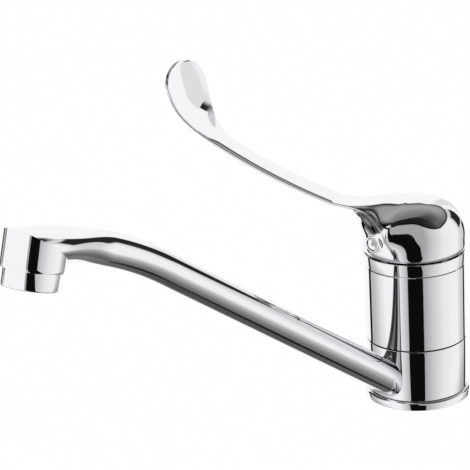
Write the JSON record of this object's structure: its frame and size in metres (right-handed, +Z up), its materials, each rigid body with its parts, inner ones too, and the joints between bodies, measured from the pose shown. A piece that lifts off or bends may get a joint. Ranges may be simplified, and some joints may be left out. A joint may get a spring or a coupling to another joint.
{
  "type": "elbow lever tap",
  "caption": "Single-hole mixer tap with a long spoon-ended elbow lever on a round body and a rising swivel spout with a tilted outlet head; chrome plated.",
  "frame": {"origin": "centre of the round base face, where the foot flange meets the worktop", "axes": "+Z up along the body, +X the way the lever points at rest, which is the front of the body; the spout is swung to +Y at rest"},
  "size_m": [0.1539, 0.2762, 0.1633],
  "materials": {
    "chrome": "mirror polished plating on brass",
    "brass": "machined",
    "white_plastic": "moulded",
    "rubber": "matt",
    "ceramic": null,
    "steel": "turned"
  },
  "bodies": {
    "body": {"body": "chrome", "base_flange": "chrome", "base_gasket": "rubber", "lower_glide_ring": "white_plastic", "upper_glide_ring": "white_plastic", "lower_spout_seal": "rubber", "upper_spout_seal": "rubber", "shroud_ring": "chrome", "cartridge_nut": "brass", "cartridge_housing": "white_plastic", "cartridge_base": "white_plastic", "port_seal": "rubber", "fixed_disc": "ceramic"},
    "spout": {"spout_collar": "chrome", "spout_tube": "chrome", "spout_head": "chrome", "aerator_housing": "chrome", "aerator_washer": "rubber", "aerator_insert": "white_plastic", "aerator_screen": "steel"},
    "rotor": {"rotor": "white_plastic", "pivot_pin": "steel"},
    "lever": {"handle": "chrome", "stem": "brass", "grub_screw": "steel", "indicator_plug": "chrome"},
    "disc": {"disc_carrier": "white_plastic", "moving_disc": "ceramic"}
  },
  "joints": [
    {"name": "spout_swing", "type": "hinge", "parent": "body", "child": "spout", "pos_m": [0, 0, 0.0175], "axis": [0, 0, 1], "continuous": true},
    {"name": "lever_turn", "type": "hinge", "parent": "body", "child": "rotor", "pos_m": [0, 0, 0.0864], "axis": [0, 0, 1], "range_deg": [-45, 45]},
    {"name": "lever_lift", "type": "hinge", "parent": "rotor", "child": "lever", "pos_m": [0, 0, 0.0864], "axis": [0, -1, 0], "range_deg": [0, 20]},
    {"name": "disc_slide", "type": "slide", "parent": "rotor", "child": "disc", "axis": [1, 0, 0], "range_m": [0, 0.011]}
  ],
  "couplings": [
    {"joint": "disc_slide", "follows": "lever_lift", "m_per_rad": 0.03124}
  ]
}
